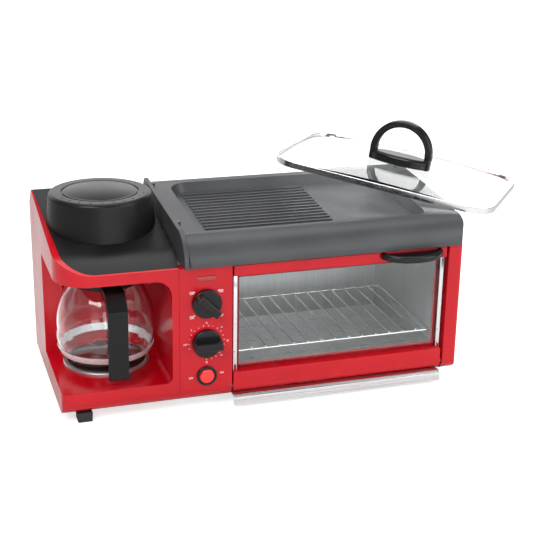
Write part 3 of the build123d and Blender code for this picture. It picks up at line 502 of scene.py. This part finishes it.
def sum_node(tree, operation, second=None):
    """A math node with its second value, if it has a fixed one."""
    node = tree.nodes.new("ShaderNodeMath")
    node.operation = operation
    if second is not None:
        node.inputs[1].default_value = second
    return node


def tick_tree():
    """Geometry nodes that set short bars around a circle."""
    tree = bpy.data.node_groups.new("ring of ticks", "GeometryNodeTree")
    for label, kind, value in (
        ("Count", "NodeSocketInt", 12),
        ("Radius", "NodeSocketFloat", 0.02),
        ("Start", "NodeSocketFloat", 0.0),
        ("Sweep", "NodeSocketFloat", 5.0),
        ("Length", "NodeSocketFloat", 0.002),
        ("Width", "NodeSocketFloat", 0.0005),
        ("Ink", "NodeSocketMaterial", None),
    ):
        socket = tree.interface.new_socket(label, in_out="INPUT", socket_type=kind)
        if value is not None:
            socket.default_value = value
    tree.interface.new_socket("Geometry", in_out="OUTPUT", socket_type="NodeSocketGeometry")
    new = tree.nodes.new
    inp = new("NodeGroupInput")
    out = new("NodeGroupOutput")
    points = new("GeometryNodePoints")
    index = new("GeometryNodeInputIndex")
    last = sum_node(tree, "SUBTRACT", 1.0)
    share = sum_node(tree, "DIVIDE")
    turn = sum_node(tree, "MULTIPLY_ADD")
    cosine = sum_node(tree, "COSINE")
    sine = sum_node(tree, "SINE")
    out_x = sum_node(tree, "MULTIPLY")
    out_z = sum_node(tree, "MULTIPLY")
    place = new("ShaderNodeCombineXYZ")
    minus = sum_node(tree, "MULTIPLY", -1.0)
    spin = new("ShaderNodeCombineXYZ")
    cube = new("GeometryNodeMeshCube")
    size = new("ShaderNodeCombineXYZ")
    size.inputs["Y"].default_value = PRINT_T * MM
    instance = new("GeometryNodeInstanceOnPoints")
    real = new("GeometryNodeRealizeInstances")
    paint = new("GeometryNodeSetMaterial")
    join = tree.links.new
    join(inp.outputs["Count"], points.inputs["Count"])
    join(inp.outputs["Count"], last.inputs[0])
    join(index.outputs["Index"], share.inputs[0])
    join(last.outputs[0], share.inputs[1])
    join(share.outputs[0], turn.inputs[0])
    join(inp.outputs["Sweep"], turn.inputs[1])
    join(inp.outputs["Start"], turn.inputs[2])
    join(turn.outputs[0], cosine.inputs[0])
    join(turn.outputs[0], sine.inputs[0])
    join(cosine.outputs[0], out_x.inputs[0])
    join(sine.outputs[0], out_z.inputs[0])
    join(inp.outputs["Radius"], out_x.inputs[1])
    join(inp.outputs["Radius"], out_z.inputs[1])
    join(out_x.outputs[0], place.inputs["X"])
    join(out_z.outputs[0], place.inputs["Z"])
    join(place.outputs[0], points.inputs["Position"])
    join(turn.outputs[0], minus.inputs[0])
    join(minus.outputs[0], spin.inputs["Y"])
    join(inp.outputs["Length"], size.inputs["X"])
    join(inp.outputs["Width"], size.inputs["Z"])
    join(size.outputs[0], cube.inputs["Size"])
    join(points.outputs[0], instance.inputs["Points"])
    join(cube.outputs["Mesh"], instance.inputs["Instance"])
    join(spin.outputs[0], instance.inputs["Rotation"])
    join(instance.outputs[0], real.inputs[0])
    join(real.outputs[0], paint.inputs["Geometry"])
    join(inp.outputs["Ink"], paint.inputs["Material"])
    join(paint.outputs[0], out.inputs["Geometry"])
    return tree


TICKS = tick_tree()


def set_inputs(modifier, values):
    for item in modifier.node_group.interface.items_tree:
        if item.item_type == "SOCKET" and item.in_out == "INPUT" and item.name in values:
            modifier[item.identifier] = values[item.name]


def tick_ring(name, centre, count, radius, start, sweep, length, width):
    """A ring of printed bars on the column's face; angles run from +X towards +Z."""
    obj = link(name, bpy.data.meshes.new(name))
    modifier = obj.modifiers.new("ticks", "NODES")
    modifier.node_group = TICKS
    set_inputs(
        modifier,
        {
            "Count": count,
            "Radius": radius * MM,
            "Start": math.radians(start),
            "Sweep": math.radians(sweep),
            "Length": length * MM,
            "Width": width * MM,
            "Ink": MATERIALS["ink"],
        },
    )
    to_mesh(obj)
    obj.data.transform(Matrix.Translation(centre))
    return finish_piece(obj, "body", "ink")


def print_text(name, words, x, z, height):
    """Small printed figures on the column's face."""
    curve = bpy.data.curves.new(name, "FONT")
    curve.body = words
    curve.size = height * TEXT_SIZE * MM
    curve.extrude = PRINT_T * MM / 2
    curve.align_x = "CENTER"
    curve.align_y = "CENTER"
    obj = link(name, curve)
    graph = bpy.context.evaluated_depsgraph_get()
    mesh = bpy.data.meshes.new_from_object(obj.evaluated_get(graph))
    bpy.data.objects.remove(obj)
    turn = Matrix.Rotation(math.radians(90), 4, "X")
    mesh.transform(Matrix.Translation(at(x, PRINT_Y, z)) @ turn)
    return finish_piece(link(name, mesh), "body", "ink")


def print_bar(name, x, z, width, height):
    """A plain printed bar on the column's face."""
    mesh = bpy.data.meshes.new(name)
    work = bmesh.new()
    bmesh.ops.create_cube(work, size=1.0)
    size = Matrix.Diagonal((width * MM, PRINT_T * MM, height * MM, 1))
    place = Matrix.Translation(at(x, PRINT_Y, z)) @ size
    bmesh.ops.transform(work, matrix=place, verts=work.verts)
    work.to_mesh(mesh)
    work.free()
    return finish_piece(link(name, mesh), "body", "ink")


def column_print():
    for side, x in (("left", KNOB_X - SIGN_X), ("right", KNOB_X + SIGN_X)):
        for level, z in (("high", FUNCTION_Z + SIGN_Z), ("low", FUNCTION_Z - SIGN_Z)):
            for row, drop in enumerate(SIGN_ROWS):
                print_bar("sign_%s_%s_%d" % (side, level, row), x, z - drop, SIGN_W, SIGN_H)
    timer = at(KNOB_X, PRINT_Y, TIMER_Z)
    function = at(KNOB_X, PRINT_Y, FUNCTION_Z)
    tick_ring("timer_ticks", timer, 19, 21.5, 195, -285, 1.5, 0.45)
    tick_ring("function_ticks", function, 4, 20.5, 135, -270, 1.3, 1.3)
    for step, minutes in enumerate(MINUTES):
        angle = math.radians(180 - step * MINUTES_STEP_DEG)
        x = KNOB_X + MINUTES_RADIUS_X * math.cos(angle)
        z = TIMER_Z + MINUTES_RADIUS_Z * math.sin(angle)
        label = "OFF" if minutes == 0 else str(minutes)
        print_text("minutes_%d" % minutes, label, x, z, MINUTES_H)
    print_text("on_label", "ON", KNOB_X + 18.5, SWITCH_Z + 1.5, SWITCH_TEXT_H)
    print_text("off_label", "OFF", KNOB_X - 19.0, SWITCH_Z - 1.5, SWITCH_TEXT_H)


column_print()


# Camera, floor and lamps
CAMERA_PLACE = (-413.2, -1388.0, 649.1)
CAMERA_YAW = 0.3310
CAMERA_PITCH = -0.3460
CAMERA_ROLL = 0.0230
CAMERA_FOCAL_PX = 1219.57
CAMERA_SHIFT_PX = (15.6, -1.9)
IMAGE_PX = 550
SENSOR_MM = 36.0
CLIP_NEAR = 0.05
CLIP_FAR = 30

WORLD_LEVEL = 0.14
FLOOR_HALF = 6
FLOOR_ROUGH = 0.5
FLOOR_NEAR = 0.7
FLOOR_FAR = 2.2
FLOOR_BOOST = 0.66
FLOOR_FAR_BOOST = 1.1

# Name, place and target in the working frame, size in metres, watts
LAMPS = (
    ("key", (-1100, -1200, 1500), (0, 0, 120), (1.1, 0.9), 26),
    ("fill", (1300, -1100, 800), (0, 0, 120), (1.2, 1.2), 14),
    ("front", (100, -1900, 450), (0, 0, 120), (1.6, 0.7), 9),
    ("top", (100, 300, 1700), (0, 0, 120), (1.8, 1.2), 16),
    ("back", (0, 2400, 950), (0, 0, 200), (4.5, 1.4), 30),
)


def make_camera():
    data = bpy.data.cameras.new("camera")
    data.sensor_width = SENSOR_MM
    data.sensor_fit = "HORIZONTAL"
    data.lens = CAMERA_FOCAL_PX / IMAGE_PX * SENSOR_MM
    data.shift_x = -CAMERA_SHIFT_PX[0] / IMAGE_PX
    data.shift_y = CAMERA_SHIFT_PX[1] / IMAGE_PX
    data.clip_start = CLIP_NEAR
    data.clip_end = CLIP_FAR
    camera = bpy.data.objects.new("camera", data)
    bpy.context.scene.collection.objects.link(camera)
    yaw, pitch, roll = CAMERA_YAW, CAMERA_PITCH, CAMERA_ROLL
    level = math.cos(pitch)
    forward = Vector((math.sin(yaw) * level, math.cos(yaw) * level, math.sin(pitch)))
    right = forward.cross(Vector((0, 0, 1))).normalized()
    up = right.cross(forward)
    side = right * math.cos(roll) + up * math.sin(roll)
    top = up * math.cos(roll) - right * math.sin(roll)
    turn = Matrix((side, top, -forward)).transposed().to_4x4()
    camera.matrix_world = Matrix.Translation(at(*CAMERA_PLACE)) @ turn
    bpy.context.scene.camera = camera


def area_lamp(name, place, target, size, power):
    data = bpy.data.lights.new(name, "AREA")
    data.shape = "RECTANGLE"
    data.size, data.size_y = size
    data.energy = power
    lamp = bpy.data.objects.new(name, data)
    lamp.location = place
    lamp.rotation_euler = (Vector(target) - Vector(place)).to_track_quat("-Z", "Y").to_euler()
    bpy.context.scene.collection.objects.link(lamp)
    return lamp


def background_mask(tree):
    """1 for rays from the camera, also behind glass, so that they see the white background."""
    path = tree.nodes.new("ShaderNodeLightPath")
    either = tree.nodes.new("ShaderNodeMath")
    either.operation = "MAXIMUM"
    tree.links.new(path.outputs["Is Camera Ray"], either.inputs[0])
    tree.links.new(path.outputs["Is Transmission Ray"], either.inputs[1])
    return either.outputs[0]


def make_floor():
    mesh = bpy.data.meshes.new("floor")
    work = bmesh.new()
    bmesh.ops.create_grid(work, x_segments=1, y_segments=1, size=FLOOR_HALF)
    work.to_mesh(mesh)
    work.free()
    floor = link("floor", mesh)
    material, tree, shader = blank_material("white floor")
    shader.inputs["Base Color"].default_value = FLOOR_PALE
    shader.inputs["Roughness"].default_value = FLOOR_ROUGH
    shader.inputs["Emission Color"].default_value = PLAIN_WHITE
    place = tree.nodes.new("ShaderNodeTexCoord")
    away = tree.nodes.new("ShaderNodeVectorMath")
    away.operation = "LENGTH"
    far = tree.nodes.new("ShaderNodeMapRange")
    far.inputs["From Min"].default_value = FLOOR_NEAR
    far.inputs["From Max"].default_value = FLOOR_FAR
    far.inputs["To Min"].default_value = FLOOR_BOOST
    far.inputs["To Max"].default_value = FLOOR_FAR_BOOST
    boost = tree.nodes.new("ShaderNodeMath")
    boost.operation = "MULTIPLY"
    tree.links.new(place.outputs["Object"], away.inputs[0])
    tree.links.new(away.outputs["Value"], far.inputs["Value"])
    tree.links.new(far.outputs["Result"], boost.inputs[1])
    tree.links.new(background_mask(tree), boost.inputs[0])
    tree.links.new(boost.outputs[0], shader.inputs["Emission Strength"])
    mesh.materials.append(material)


def make_world():
    world = bpy.data.worlds.new("studio")
    world.use_nodes = True
    tree = world.node_tree
    back = tree.nodes["Background"]
    back.inputs["Color"].default_value = PLAIN_WHITE
    level = tree.nodes.new("ShaderNodeMapRange")
    level.inputs["To Min"].default_value = WORLD_LEVEL
    level.inputs["To Max"].default_value = 1.0
    tree.links.new(background_mask(tree), level.inputs["Value"])
    tree.links.new(level.outputs["Result"], back.inputs["Strength"])
    bpy.context.scene.world = world


def make_lamps():
    for name, place, target, size, power in LAMPS:
        area_lamp(name, at(*place), at(*target), size, power)


make_camera()
make_floor()
make_world()
make_lamps()
bpy.context.scene.view_settings.view_transform = "Standard"
